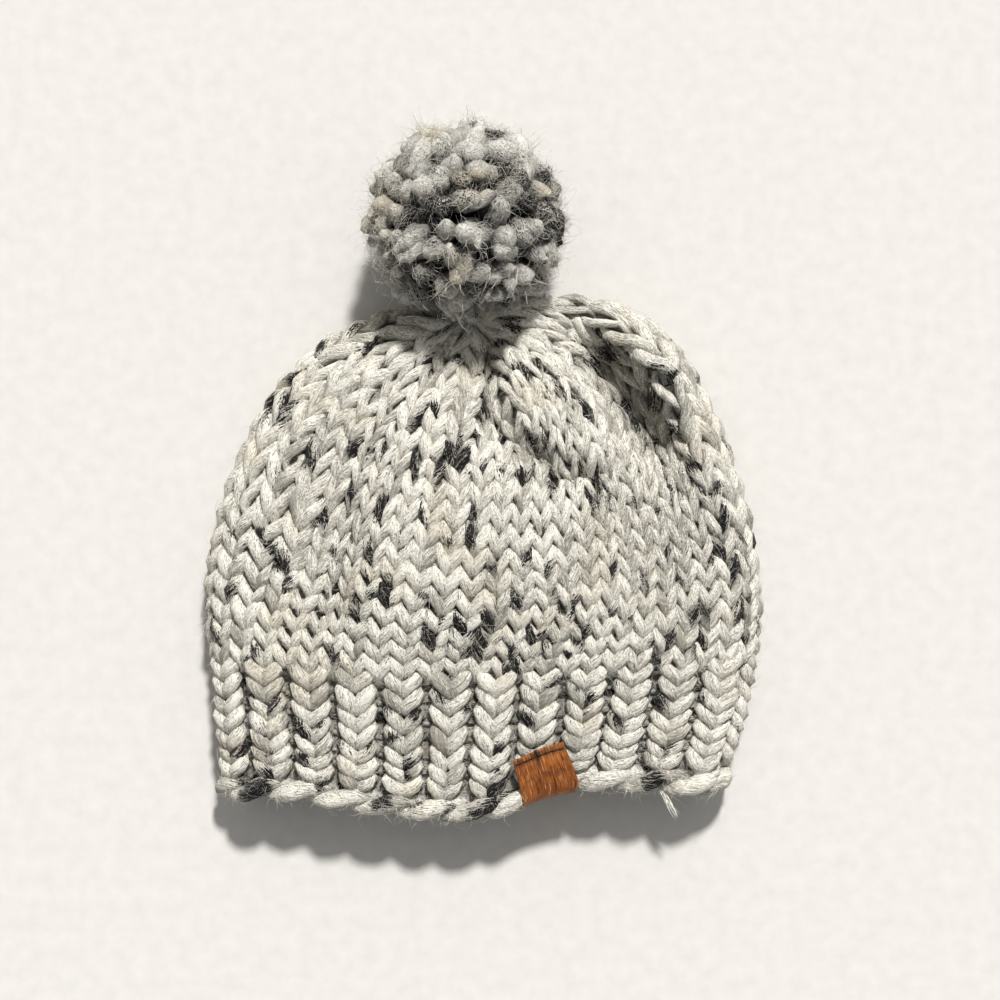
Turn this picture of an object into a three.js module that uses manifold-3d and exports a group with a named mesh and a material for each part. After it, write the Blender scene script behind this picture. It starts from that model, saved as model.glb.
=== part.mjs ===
import * as THREE from 'three';
import { ParametricGeometry } from 'three/addons/geometries/ParametricGeometry.js';
import { mergeVertices } from 'three/addons/utils/BufferGeometryUtils.js';
import Module from 'manifold-3d';

// A chunky knitted toque lying flat on its back, with a ribbed band, a twisted cast-on edge,
// a pompom and a folded leather tag. Millimetres: +Y runs from the hem to the pompom,
// +X to the right of the visible side, +Z up from the floor.

// Driving sizes
const hatWidth = 240; // across the body as it lies
const hatLength = 227; // lowest point of the hem to the top of the crown
const hatLoft = 48; // floor to the highest part of the body
const bandHeight = 63; // the ribbed band with its cast-on edge
const wall = 8; // thickness of the knitting
const foldRadius = 10; // middle of the wall, where it turns over at the sides
const ribCount = 25;
const ribDepth = 2; // furrow between two ribs
const edgeHeight = 9.6; // twisted cast-on edge, up the band
const edgeTwists = 24; // bulges of the twist around the hem
const pompomDiameter = 84;
const pompomNestle = 17; // how far the pompom reaches over the crown
const lockCount = 36;
const tagWidth = 25.4;
const tagHeight = 20.5; // fold to top edge, on the visible side
const tagThickness = 1.3;
const tagTopShare = 0.82; // the stitch that holds the tag pinches its top edge narrower
const clearance = 0.3; // between neighbouring pieces

// Rounds of knitting
const bandCourses = 8;
const crownCourses = 20;

// How finely each piece is faceted
const crownFacets = { around: 72, up: 14, reach: 0.985 }; // reach: where the last ring lies
const bandFacets = { perRib: 4, up: 4 };
const edgeFacets = { around: 90, section: 8 };
const tagFacets = { across: 4, along: 18 };
const seamReach = 1e-4;
const slopeStep = 1e-3; // step for the surface's tangents

// Worked out
const halfWidth = hatWidth / 2;
const freeLoft = hatLoft - wall;
const hemLine = -(hatLength + pompomDiameter - pompomNestle) / 2;
const bandStart = hemLine + edgeHeight / 2;
const bandRise = bandHeight - edgeHeight / 2;
const crownStart = hemLine + bandHeight;
const crownRise = hatLength - bandHeight;
const lastRow = bandCourses + crownCourses;

// Rings of the wall's middle surface. at: share of the piece's courses. left, right: outer
// sides, shares of half the width. The ups are shares of the piece's own rise, at the two
// sides and in the middle of the front and back. The heights are shares of the free loft.
const ringColumns = ['at', 'left', 'right', 'leftUp', 'rightUp', 'frontUp', 'backUp', 'top', 'side', 'under'];
const bandRings = [
  [0.00, -0.939, 0.874, 0.13, 0.23, 0.00, 0.06, 0.55, 0.25, 0.00],
  [0.43, -0.953, 0.928, 0.51, 0.60, 0.36, 0.43, 0.65, 0.25, 0.00],
  [1.00, -0.978, 0.982, 1.10, 1.13, 1.00, 1.03, 0.80, 0.25, 0.00],
];
const crownRings = [
  [0.15, -0.996, 0.996, 0.19, 0.18, 0.11, 0.16, 0.92, 0.25, 0.00],
  [0.35, -0.957, 0.957, 0.40, 0.39, 0.28, 0.36, 1.00, 0.25, 0.00],
  [0.55, -0.810, 0.835, 0.66, 0.65, 0.47, 0.57, 1.00, 0.25, 0.00],
  [0.70, -0.659, 0.688, 0.80, 0.84, 0.62, 0.76, 0.92, 0.28, 0.02],
  [0.80, -0.497, 0.508, 0.88, 0.93, 0.72, 0.88, 0.80, 0.34, 0.08],
  [0.90, -0.318, 0.293, 0.92, 0.96, 0.82, 0.95, 0.65, 0.42, 0.24],
  [1.00, -0.063, -0.063, 0.92, 0.92, 0.92, 0.92, 0.50, 0.50, 0.50],
];

// How the hem waves. across: share from the left to the right side. up: share of the band's rise.
const hemWaves = [
  { at: -1.00, up: 0.00 },
  { at: -0.75, up: 0.08 },
  { at: -0.30, up: 0.02 },
  { at: 0.05, up: 0.00 },
  { at: 0.28, up: 0.13 },
  { at: 0.46, up: 0.16 },
  { at: 0.75, up: 0.07 },
  { at: 0.92, up: -0.03 },
  { at: 1.00, up: 0.00 },
];

// Folds in the front of the crown, each along a line: dents, and ridges where the depth is
// negative. Across: shares of half the width. Ups: shares of the crown's rise. depth: shares of
// the loft at the two ends of the line.
const folds = [
  { across: [-0.515, -0.515], up: [0.12, 0.70], width: 0.085, depth: [0.08, 0.13] },
  { across: [-0.415, -0.318], up: [0.80, 0.92], width: 0.055, depth: [0.16, 0.14] },
  { across: [0.018, 0.030], up: [0.85, 0.63], width: 0.060, depth: [0.20, 0.17] },
  { across: [0.030, 0.270], up: [0.63, 0.50], width: 0.060, depth: [0.17, 0.20] },
  { across: [0.270, 0.500], up: [0.50, 0.51], width: 0.055, depth: [0.20, 0.10] },
  { across: [0.160, 0.360], up: [0.76, 0.63], width: 0.110, depth: [-0.08, -0.06] },
  { across: [0.630, 0.375], up: [0.59, 0.85], width: 0.130, depth: [0.56, 0.48] },
  { across: [0.470, 0.640], up: [0.92, 0.79], width: 0.080, depth: [-0.62, -0.85] },
  { across: [0.640, 0.765], up: [0.79, 0.64], width: 0.080, depth: [-0.85, -0.90] },
  { across: [0.765, 0.855], up: [0.64, 0.42], width: 0.085, depth: [-0.90, -0.30] },
  { across: [0.760, 0.560], up: [0.16, 0.42], width: 0.180, depth: [0.10, 0.16] },
];

const tagPlace = 0.235; // middle of the tag, share of half the width

const named = (row) => Object.fromEntries(ringColumns.map((column, i) => [column, row[i]]));

function ringInMillimetres(row, firstCourse, courses, start, rise) {
  const ring = named(row);
  const height = (share) => wall / 2 + share * freeLoft;
  return {
    at: firstCourse + ring.at * courses,
    left: ring.left * halfWidth,
    right: ring.right * halfWidth,
    leftUp: start + ring.leftUp * rise,
    rightUp: start + ring.rightUp * rise,
    frontUp: start + ring.frontUp * rise,
    backUp: start + ring.backUp * rise,
    top: height(ring.top),
    side: height(ring.side),
    under: height(ring.under),
  };
}

const rings = [
  ...bandRings.map((row) => ringInMillimetres(row, 0, bandCourses, bandStart, bandRise)),
  ...crownRings.map((row) => ringInMillimetres(row, bandCourses, crownCourses, crownStart, crownRise)),
];

// A smooth curve through one column of a table
function tableValue(table, column, at) {
  const last = table.length - 1;
  let i = 0;
  while (i < last - 1 && at > table[i + 1].at) i += 1;
  const start = table[i];
  const end = table[i + 1];
  const before = table[Math.max(i - 1, 0)];
  const after = table[Math.min(i + 2, last)];
  const span = end.at - start.at;
  const leaving = (span * (end[column] - before[column])) / (end.at - before.at);
  const arriving = (span * (after[column] - start[column])) / (after.at - start.at);
  const s = (at - start.at) / span;
  const s2 = s * s;
  const s3 = s2 * s;
  return (
    start[column] * (2 * s3 - 3 * s2 + 1) +
    leaving * (s3 - 2 * s2 + s) +
    end[column] * (3 * s2 - 2 * s3) +
    arriving * (s3 - s2)
  );
}

// Share from the middle (0) to a side (1), so that even steps are even along the wall
function spread(step) {
  const corner = foldRadius / halfWidth;
  const length = Math.abs(step);
  return Math.sign(step) * (1 + corner - Math.hypot(corner, Math.sqrt(1 + 2 * corner) * (1 - length)));
}

// Height profile across a ring: round at the sides, flatter in the middle
function bulge(across, half, rise) {
  const power = Math.max(2, (2 * foldRadius * half) / Math.max(rise * rise, seamReach));
  return Math.sqrt(Math.max(0, 1 - Math.abs(across) ** power));
}

// How far the front lies below its plain form: the deepest dent and the highest ridge there
function foldDepth(x, y) {
  let down = 0;
  let raised = 0;
  for (const fold of folds) {
    const from = new THREE.Vector2(fold.across[0] * halfWidth, crownStart + fold.up[0] * crownRise);
    const to = new THREE.Vector2(fold.across[1] * halfWidth, crownStart + fold.up[1] * crownRise);
    const line = to.clone().sub(from);
    const here = new THREE.Vector2(x, y).sub(from);
    const along = THREE.MathUtils.clamp(here.dot(line) / line.lengthSq(), 0, 1);
    const away = here.addScaledVector(line, -along).length() / (fold.width * halfWidth);
    const share = THREE.MathUtils.lerp(fold.depth[0], fold.depth[1], along) * Math.exp(-away * away);
    down = Math.max(down, share * hatLoft);
    raised = Math.min(raised, share * hatLoft);
  }
  return down + raised;
}

// The middle of the wall. turn: 0 at the right side, 0.25 on the front, 0.5 at the left side,
// 0.75 on the back. row: courses up from the hem.
function middle(turn, row) {
  const at = Math.min(row, lastRow);
  const value = (column) => tableValue(rings, column, at);
  const share = turn - Math.floor(turn);
  const front = share < 0.5;
  const across = spread(front ? 1 - 4 * share : 4 * share - 3);
  const tuck = Math.min(wall / 2, (value('right') - value('left')) / 2);
  const half = (value('right') - value('left')) / 2 - tuck;
  const x = (value('left') + value('right')) / 2 + across * half;
  const sideUp = THREE.MathUtils.lerp(value('leftUp'), value('rightUp'), (across + 1) / 2);
  const middleUp = (value('leftUp') + value('rightUp')) / 2;
  const crest = value(front ? 'frontUp' : 'backUp');
  const wave = Math.max(0, 1 - at / bandCourses) * tableValue(hemWaves, 'up', across) * bandRise;
  const y = sideUp + (crest - middleUp) * (1 - across * across) + wave;
  const side = value('side');
  const rise = front ? value('top') - side : side - Math.max(value('under'), wall / 2);
  const profile = bulge(across, half, rise);
  const z = front ? side + (rise - foldDepth(x, y)) * profile : side - rise * profile;
  return new THREE.Vector3(x, y, z);
}

// Tangents round and up the wall at one point, in millimetres to a whole turn and to a course
function tangents(turn, row) {
  const low = Math.max(row - slopeStep, 0);
  const high = Math.min(row + slopeStep, lastRow);
  const round = middle(turn + slopeStep, row).sub(middle(turn - slopeStep, row)).divideScalar(2 * slopeStep);
  const up = middle(turn, high).sub(middle(turn, low)).divideScalar(high - low);
  return { round, up };
}

function outward(turn, row) {
  const { round, up } = tangents(turn, row);
  return up.cross(round).normalize();
}

const onWall = (turn, row, offset) => middle(turn, row).addScaledVector(outward(turn, row), offset);

// The course that lies a given distance above another one
const rowAbove = (turn, row, distance) => row + distance / tangents(turn, row).up.length();

// A skin that closes on itself: welded seams, with no faces left flat at the poles
function closedSkin(place, slices, stacks) {
  const loose = new ParametricGeometry((u, v, target) => target.copy(place(u, v)), slices, stacks);
  return welded(loose);
}

function welded(loose) {
  loose.deleteAttribute('normal');
  loose.deleteAttribute('uv');
  const geometry = mergeVertices(loose, seamReach);
  const corners = geometry.index.array;
  const kept = [];
  for (let i = 0; i < corners.length; i += 3) {
    const [a, b, c] = [corners[i], corners[i + 1], corners[i + 2]];
    if (a !== b && b !== c && c !== a) kept.push(a, b, c);
  }
  geometry.setIndex(kept);
  return geometry;
}

// The rings of the crown, from just above the band to just before the gather
const crownTop = bandCourses + crownFacets.reach * crownCourses;
const crownRow = (turn, climb) =>
  THREE.MathUtils.lerp(rowAbove(turn, bandCourses, clearance), crownTop, climb / crownFacets.up);

// The gather, where the wall closes
function gatherPoint(offset) {
  const out = new THREE.Vector3();
  for (let i = 0; i < crownFacets.around; i += 1) out.add(outward(i / crownFacets.around, crownTop));
  return middle(0, lastRow).addScaledVector(out.normalize(), offset);
}

// The crown: inner skin down from the gather, and outer skin up to it again
function crownSkin() {
  const { around, up } = crownFacets;
  const slices = 2 * up + 3;
  const place = (u, v) => {
    const step = Math.round(u * slices);
    const inside = step <= up + 1;
    const offset = inside ? -wall / 2 : wall / 2;
    const climb = inside ? up + 1 - step : step - up - 2;
    return climb > up ? gatherPoint(offset) : onWall(v % 1, crownRow(v % 1, climb), offset);
  };
  return closedSkin(place, slices, around);
}

// All the room that the crown takes up, with what is inside it and a margin round it
function crownRoom(margin) {
  const { around, up } = crownFacets;
  const slices = up + 2;
  const bandMiddle = middle(0.25, bandCourses).lerp(middle(0.75, bandCourses), 0.5);
  const place = (u, v) => {
    const step = Math.round(u * slices);
    if (step === 0) return bandMiddle;
    const climb = step - 1;
    const offset = wall / 2 + margin;
    return climb > up ? gatherPoint(offset) : onWall(v % 1, crownRow(v % 1, climb), offset);
  };
  return closedSkin(place, slices, around);
}

// The band: a ribbed outer face, and a plain inner one
function bandSkin() {
  const around = ribCount * bandFacets.perRib;
  const slices = 2 * bandFacets.up + 2;
  const place = (u, v) => {
    const step = Math.round(u * slices) % slices;
    const turn = v % 1;
    const inside = step > bandFacets.up;
    const climb = (inside ? 2 * bandFacets.up + 1 - step : step) / bandFacets.up;
    const furrow = (ribDepth * (1 - Math.cos(2 * Math.PI * ribCount * turn))) / 2;
    const offset = inside ? -wall / 2 : wall / 2 - furrow;
    const firstRow = rowAbove(turn, 0, edgeHeight / 2 + clearance);
    return onWall(turn, THREE.MathUtils.lerp(firstRow, bandCourses, climb), offset);
  };
  return closedSkin(place, slices, around);
}

// The cast-on edge: two strands twisted round the hem
function edgeSkin() {
  const twistDepth = 0.12;
  const place = (u, v) => {
    const turn = v % 1;
    const angle = 2 * Math.PI * (u % 1);
    const twist = (1 - Math.cos(2 * angle - 2 * Math.PI * edgeTwists * turn)) / 2;
    const size = 1 - twistDepth * twist;
    const up = tangents(turn, 0).up.normalize();
    const point = onWall(turn, 0, (size * wall * Math.cos(angle)) / 2);
    return point.addScaledVector(up, (size * edgeHeight * Math.sin(angle)) / 2);
  };
  return closedSkin(place, edgeFacets.section, edgeFacets.around);
}

// The tag: a strip folded round the cast-on edge, with one leg outside and one inside
function tagSkin() {
  const standOff = wall / 2 + clearance + tagThickness / 2;
  const foldDrop = edgeHeight / 2 + clearance + tagThickness / 2;
  const leg = tagHeight - foldDrop - tagThickness / 2;
  const fold = Math.PI * Math.sqrt((standOff ** 2 + foldDrop ** 2) / 2);
  const strip = new THREE.BoxGeometry(
    tagWidth, 2 * leg + fold, tagThickness, tagFacets.across, tagFacets.along, 1,
  );
  const middleTurn = turnAt(tagPlace * halfWidth);
  const hem = tangents(middleTurn, 0);
  const sideways = hem.round.clone().normalize();
  const slant = hem.up.dot(sideways) / Math.sqrt(hem.up.lengthSq() - hem.up.dot(sideways) ** 2);
  const places = strip.getAttribute('position');
  for (let i = 0; i < places.count; i += 1) {
    const along = places.getY(i);
    const lift = places.getZ(i);
    const bend = Math.PI * THREE.MathUtils.clamp(along / fold, -0.5, 0.5);
    const climb = Math.max(0, Math.abs(along) - fold / 2);
    const across = places.getX(i) * THREE.MathUtils.lerp(1, tagTopShare, climb / leg);
    const turn = middleTurn - (across + slant * climb) / hem.round.length();
    const row = rowAbove(turn, 0, climb * Math.hypot(1, slant));
    const up = tangents(turn, 0).up.normalize();
    const point = onWall(turn, row, (standOff + lift) * Math.sin(bend));
    point.addScaledVector(up, -(foldDrop + lift) * Math.cos(bend));
    places.setXYZ(i, point.x, point.y, point.z);
  }
  return welded(strip);
}

// The turn at which the front of the hem lies at a given x
function turnAt(x) {
  let low = 0;
  let high = 0.5;
  while (high - low > seamReach) {
    const turn = (low + high) / 2;
    if (middle(turn, 0).x > x) low = turn;
    else high = turn;
  }
  return (low + high) / 2;
}

const wasm = await Module();
wasm.setup();

function solid(geometry) {
  const vertProperties = new Float32Array(geometry.getAttribute('position').array);
  const triVerts = new Uint32Array(geometry.index.array);
  return new wasm.Manifold(new wasm.Mesh({ numProp: 3, vertProperties, triVerts }));
}

function geometryOf(manifold) {
  const { vertProperties, triVerts } = manifold.getMesh();
  const geometry = new THREE.BufferGeometry();
  geometry.setAttribute('position', new THREE.BufferAttribute(new Float32Array(vertProperties), 3));
  geometry.setIndex(Array.from(triVerts));
  return geometry;
}

// The pompom: locks fused to a round head, flat where it lies, and cut back from the crown
function pompomSkin() {
  const radius = pompomDiameter / 2;
  const headShare = 0.84;
  const sag = 0.05; // how far the pompom settles on the floor, share of its radius
  const lockForm = { from: 0.70, length: 0.30, width: 0.27, vary: 0.05 }; // shares of the radius
  const goldenAngle = Math.PI * (3 - Math.sqrt(5));
  const centre = new THREE.Vector3(rings.at(-1).left, -hemLine - radius, radius * (1 - sag));
  const head = new THREE.IcosahedronGeometry(radius * headShare, 2).translate(centre.x, centre.y, centre.z);
  let body = solid(welded(head));
  for (let i = 0; i < lockCount; i += 1) {
    const high = 1 - (2 * i + 1) / lockCount;
    const flat = Math.sqrt(1 - high * high);
    const out = new THREE.Vector3(flat * Math.cos(i * goldenAngle), flat * Math.sin(i * goldenAngle), high);
    const size = radius * (1 + lockForm.vary * Math.sin(i * i));
    const lock = new THREE.IcosahedronGeometry(1, 1);
    lock.scale(lockForm.width * size, lockForm.width * size, lockForm.length * radius);
    lock.applyQuaternion(new THREE.Quaternion().setFromUnitVectors(new THREE.Vector3(0, 0, 1), out));
    const place = centre.clone().addScaledVector(out, lockForm.from * size);
    lock.translate(place.x, place.y, place.z);
    body = body.add(solid(welded(lock)));
  }
  const floor = new THREE.BoxGeometry(2 * pompomDiameter, 2 * pompomDiameter, radius);
  floor.translate(centre.x, centre.y, -radius / 2);
  body = body.subtract(solid(welded(floor)));
  body = body.subtract(solid(crownRoom(clearance)));
  return geometryOf(body);
}

const ivoryYarn = { color: '#e6e1d5', roughness: 0.95, metalness: 0 };
const leather = { color: '#8a4b16', roughness: 0.38, metalness: 0 };

function piece(name, geometry, finish) {
  geometry.computeVertexNormals();
  const mesh = new THREE.Mesh(geometry, new THREE.MeshStandardMaterial(finish));
  mesh.name = name;
  return mesh;
}

const toque = new THREE.Group();
toque.name = 'knit_toque';
toque.add(
  piece('crown', crownSkin(), ivoryYarn),
  piece('ribbed_band', bandSkin(), ivoryYarn),
  piece('cast_on_edge', edgeSkin(), ivoryYarn),
  piece('pompom', pompomSkin(), ivoryYarn),
  piece('leather_tag', tagSkin(), leather),
);

export default toque;
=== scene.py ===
import math
import bmesh
import bpy
import numpy as np
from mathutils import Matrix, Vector


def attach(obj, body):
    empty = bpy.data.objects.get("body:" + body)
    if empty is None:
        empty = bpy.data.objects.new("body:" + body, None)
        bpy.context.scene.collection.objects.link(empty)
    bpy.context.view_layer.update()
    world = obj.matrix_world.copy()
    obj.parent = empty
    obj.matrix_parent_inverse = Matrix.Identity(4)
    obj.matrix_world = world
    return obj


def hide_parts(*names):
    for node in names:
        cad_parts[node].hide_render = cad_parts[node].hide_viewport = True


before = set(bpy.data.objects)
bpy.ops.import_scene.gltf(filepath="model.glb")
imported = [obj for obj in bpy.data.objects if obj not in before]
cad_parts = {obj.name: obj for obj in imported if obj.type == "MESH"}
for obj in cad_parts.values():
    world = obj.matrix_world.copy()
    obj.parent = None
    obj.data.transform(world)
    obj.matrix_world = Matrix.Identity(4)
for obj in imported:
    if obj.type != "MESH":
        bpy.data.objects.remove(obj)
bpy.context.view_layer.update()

# The camera looks straight down on the hat, in metres
view = {"lens": 85.0, "sensor": 36.0, "width": 0.430, "aim": (0.0071, -0.0114, 0.015)}
cameraData = bpy.data.cameras.new("camera")
cameraData.lens = view["lens"]
cameraData.sensor_width = view["sensor"]
camera = bpy.data.objects.new("camera", cameraData)
distance = view["width"] * view["lens"] / view["sensor"]
camera.location = Vector(view["aim"]) + Vector((0, 0, distance))
bpy.context.collection.objects.link(camera)
bpy.context.scene.camera = camera
bpy.context.scene.view_settings.view_transform = "Standard"
bpy.context.scene.view_settings.look = "Medium High Contrast"

rng = np.random.default_rng(11)  # everything that varies is drawn from this one source
anyPhase = 6.28  # about a full turn
frontFrom = 0.012  # what lies higher than this is on the side that shows
floorGap = 2e-4  # nothing sinks into the floor


def link(name, mesh):
    thing = bpy.data.objects.new(name, mesh)
    bpy.context.collection.objects.link(thing)
    return thing


# A finished piece: its material, its body, and the CAD node that it stands for
def finish(piece, material, slot, node=None):
    piece.data.materials.append(material)
    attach(piece, "root")
    if node:
        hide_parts(node)


# A value or a vector at each vertex, for the materials to read
def setAttribute(mesh, name, values):
    values = values.reshape(len(mesh.vertices), -1)
    kind, entry = ("FLOAT", "value") if values.shape[1] == 1 else ("FLOAT_VECTOR", "vector")
    mesh.attributes.new(name, kind, "POINT").data.foreach_set(entry, values.ravel())


# Light: one soft key from beyond the pompom, and a pale surround
light = {
    "toKey": (0.17, 0.80, 0.90), "key": 3.55, "spread": 6.0, "tint": (1.0, 0.975, 0.94),
    "surround": (1.0, 0.985, 0.95), "fill": 0.35,
}
sun = bpy.data.lights.new("key", "SUN")
sun.energy = light["key"]
sun.angle = math.radians(light["spread"])
sun.color = light["tint"]
key = link("key", sun)
key.rotation_euler = Vector(light["toKey"]).to_track_quat("Z", "Y").to_euler()
world = bpy.data.worlds.new("surround")
bpy.context.scene.world = world
world.use_nodes = True
background = world.node_tree.nodes["Background"]
background.inputs["Color"].default_value = (*light["surround"], 1)
background.inputs["Strength"].default_value = light["fill"]


# Nodes: one call adds a node, sets its options and its unlinked inputs, and links the rest.
# An input is given by its name, or as at and its number.
def addNode(tree, kind, options=None, **inputs):
    node = tree.nodes.new(kind)
    for name, value in (options or {}).items():
        setattr(node, name, value)
    for name, value in inputs.items():
        place = int(name[2:]) if name.startswith("at") else name.replace("_", " ")
        socket = node.inputs[place]
        if isinstance(value, bpy.types.NodeSocket):
            tree.links.new(value, socket)
        else:
            socket.default_value = value
    return node


def calc(tree, operation, first, second=0.0):
    options = {"operation": operation}
    return addNode(tree, "ShaderNodeMath", options, at0=first, at1=second).outputs[0]


def blend(tree, share, first, second):
    node = addNode(tree, "ShaderNodeMix", {"data_type": "RGBA"}, at0=share, at6=first, at7=second)
    return node.outputs[2]


def ramp(tree, value, low, high):
    options = {"interpolation_type": "SMOOTHSTEP"}
    node = addNode(tree, "ShaderNodeMapRange", options, Value=value, From_Min=low, From_Max=high)
    return node.outputs[0]


def noise(tree, **inputs):
    return addNode(tree, "ShaderNodeTexNoise", **inputs).outputs[0]


def attribute(tree, name, output="Fac"):
    return addNode(tree, "ShaderNodeAttribute", {"attribute_name": name}).outputs[output]


def newMaterial(name, **settings):
    material = bpy.data.materials.new(name)
    material.use_nodes = True
    shader = material.node_tree.nodes["Principled BSDF"]
    for socket, value in settings.items():
        shader.inputs[socket.replace("_", " ")].default_value = value
    return material, material.node_tree, shader


# The floor: plain and pale, with a faint grain
ground = {
    "size": 3.0, "grain": 900.0, "low": (0.595, 0.586, 0.573, 1), "high": (0.695, 0.686, 0.673, 1),
}
floorMaterial, tree, shader = newMaterial("paleFloor", Roughness=0.9)
grain = noise(tree, Scale=ground["grain"], Detail=2.0)
tree.links.new(blend(tree, grain, ground["low"], ground["high"]), shader.inputs["Base Color"])
floorMesh = bpy.data.meshes.new("floor")
shape = bmesh.new()
bmesh.ops.create_grid(shape, x_segments=1, y_segments=1, size=ground["size"])
shape.to_mesh(floorMesh)
shape.free()
floor = link("floor", floorMesh)
floorMesh.materials.append(floorMaterial)
print("stage: camera, light and floor")

# The hat's form. Lengths in metres; the tables below hold shares of them.
hat = {
    "width": 0.240, "length": 0.227, "loft": 0.048, "wall": 0.008, "foldRadius": 0.010,
    "bandHeight": 0.063, "edgeHeight": 0.0096, "pompom": 0.084, "nestle": 0.017,
    "pompomSag": 0.05, "bandCourses": 8, "crownCourses": 20, "gathered": 0.15,
}
halfWidth, halfWall = hat["width"] / 2, hat["wall"] / 2
hemLine = -(hat["length"] + hat["pompom"] - hat["nestle"]) / 2
bandStart = hemLine + hat["edgeHeight"] / 2
bandRise = hat["bandHeight"] - hat["edgeHeight"] / 2
crownStart = hemLine + hat["bandHeight"]
crownRise = hat["length"] - hat["bandHeight"]
lastRow = hat["bandCourses"] + hat["crownCourses"]

# Rings of the wall's middle: sides as shares of half the width, ups as shares of the piece's rise,
# heights as shares of the loft that the wall leaves free
ringColumns = [
    "at", "left", "right", "leftUp", "rightUp", "frontUp", "backUp", "top", "side", "under"]
bandRings = [
    [0.00, -0.939, 0.874, 0.13, 0.23, 0.00, 0.06, 0.55, 0.25, 0.00],
    [0.43, -0.953, 0.928, 0.51, 0.60, 0.36, 0.43, 0.65, 0.25, 0.00],
    [1.00, -0.978, 0.982, 1.10, 1.13, 1.00, 1.03, 0.80, 0.25, 0.00],
]
crownRings = [
    [0.15, -0.996, 0.996, 0.19, 0.18, 0.11, 0.16, 0.92, 0.25, 0.00],
    [0.35, -0.957, 0.957, 0.40, 0.39, 0.28, 0.36, 1.00, 0.25, 0.00],
    [0.55, -0.810, 0.835, 0.66, 0.65, 0.47, 0.57, 1.00, 0.25, 0.00],
    [0.70, -0.659, 0.688, 0.80, 0.84, 0.62, 0.76, 0.92, 0.28, 0.02],
    [0.80, -0.497, 0.508, 0.88, 0.93, 0.72, 0.88, 0.80, 0.34, 0.08],
    [0.90, -0.318, 0.293, 0.92, 0.96, 0.82, 0.95, 0.65, 0.42, 0.24],
    [1.00, -0.063, -0.063, 0.92, 0.92, 0.92, 0.92, 0.50, 0.50, 0.50],
]
# Waves of the hem: share of the way to a side, share of the band's rise
hemWaves = [
    [-1.00, 0.00], [-0.75, 0.08], [-0.30, 0.02], [0.05, 0.00], [0.28, 0.13],
    [0.46, 0.16], [0.75, 0.07], [0.92, -0.03], [1.00, 0.00],
]
# Lines of dents, and of ridges where the depth is negative: across from and to, up from and to,
# width, depth from and to
folds = [
    (-0.515, -0.515, 0.12, 0.70, 0.085, 0.08, 0.13),
    (-0.415, -0.318, 0.80, 0.92, 0.055, 0.16, 0.14),
    (0.018, 0.030, 0.85, 0.63, 0.060, 0.20, 0.17),
    (0.030, 0.270, 0.63, 0.50, 0.060, 0.17, 0.20),
    (0.270, 0.500, 0.50, 0.51, 0.055, 0.20, 0.10),
    (0.160, 0.360, 0.76, 0.63, 0.110, -0.08, -0.06),
    (0.630, 0.375, 0.59, 0.85, 0.130, 0.56, 0.48),
    (0.470, 0.640, 0.92, 0.79, 0.080, -0.62, -0.85),
    (0.640, 0.765, 0.79, 0.64, 0.080, -0.85, -0.90),
    (0.765, 0.855, 0.64, 0.42, 0.085, -0.90, -0.30),
    (0.760, 0.560, 0.16, 0.42, 0.180, 0.10, 0.16),
]


def ringsInMetres(table, firstRow, courses, start, rise):
    free = hat["loft"] - hat["wall"]
    scale = np.array([courses, halfWidth, halfWidth, *[rise] * 4, *[free] * 3])
    shift = np.array([firstRow, 0, 0, *[start] * 4, *[halfWall] * 3])
    return np.array(table) * scale + shift


rings = dict(zip(ringColumns, np.vstack([
    ringsInMetres(bandRings, 0, hat["bandCourses"], bandStart, bandRise),
    ringsInMetres(crownRings, hat["bandCourses"], hat["crownCourses"], crownStart, crownRise),
]).T))


# A smooth curve through a table's column
def curveThrough(places, values, at):
    places, values = np.asarray(places, float), np.asarray(values, float)
    last = len(places) - 1
    i = np.clip(np.searchsorted(places, at, side="left") - 1, 0, last - 1)
    before, after = np.maximum(i - 1, 0), np.minimum(i + 2, last)
    span = places[i + 1] - places[i]
    leaving = span * (values[i + 1] - values[before]) / (places[i + 1] - places[before])
    arriving = span * (values[after] - values[i]) / (places[after] - places[i])
    s = (at - places[i]) / span
    fromStart, fromEnd = 2 * s**3 - 3 * s**2 + 1, 3 * s**2 - 2 * s**3
    started = values[i] * fromStart + leaving * (s**3 - 2 * s**2 + s)
    return started + values[i + 1] * fromEnd + arriving * (s**3 - s**2)


# From an even step across, -1 to 1, to a share of the half width, round the fold at the side
def spread(step):
    corner = hat["foldRadius"] / halfWidth
    far = np.hypot(corner, math.sqrt(1 + 2 * corner) * (1 - np.abs(step)))
    return np.sign(step) * (1 + corner - far)


# The rise of the wall over a ring's width, as a share: full in the middle, rounded at the sides
def bulge(across, half, rise):
    power = np.maximum(2, 2 * hat["foldRadius"] * half / np.maximum(rise**2, 1e-10))
    return np.sqrt(np.maximum(0, 1 - np.abs(across) ** power))


# How deep the folds press the front in, in metres
def foldDepth(x, y):
    down, raised = np.zeros_like(x), np.zeros_like(x)
    for left, right, low, high, width, first, last in folds:
        x0, x1 = left * halfWidth, right * halfWidth
        y0, y1 = crownStart + low * crownRise, crownStart + high * crownRise
        dx, dy = x1 - x0, y1 - y0
        along = np.clip(((x - x0) * dx + (y - y0) * dy) / (dx * dx + dy * dy), 0, 1)
        away = np.hypot(x - x0 - along * dx, y - y0 - along * dy) / (width * halfWidth)
        depth = (first + (last - first) * along) * hat["loft"] * np.exp(-away * away)
        down, raised = np.maximum(down, depth), np.minimum(raised, depth)
    return down + raised


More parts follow.
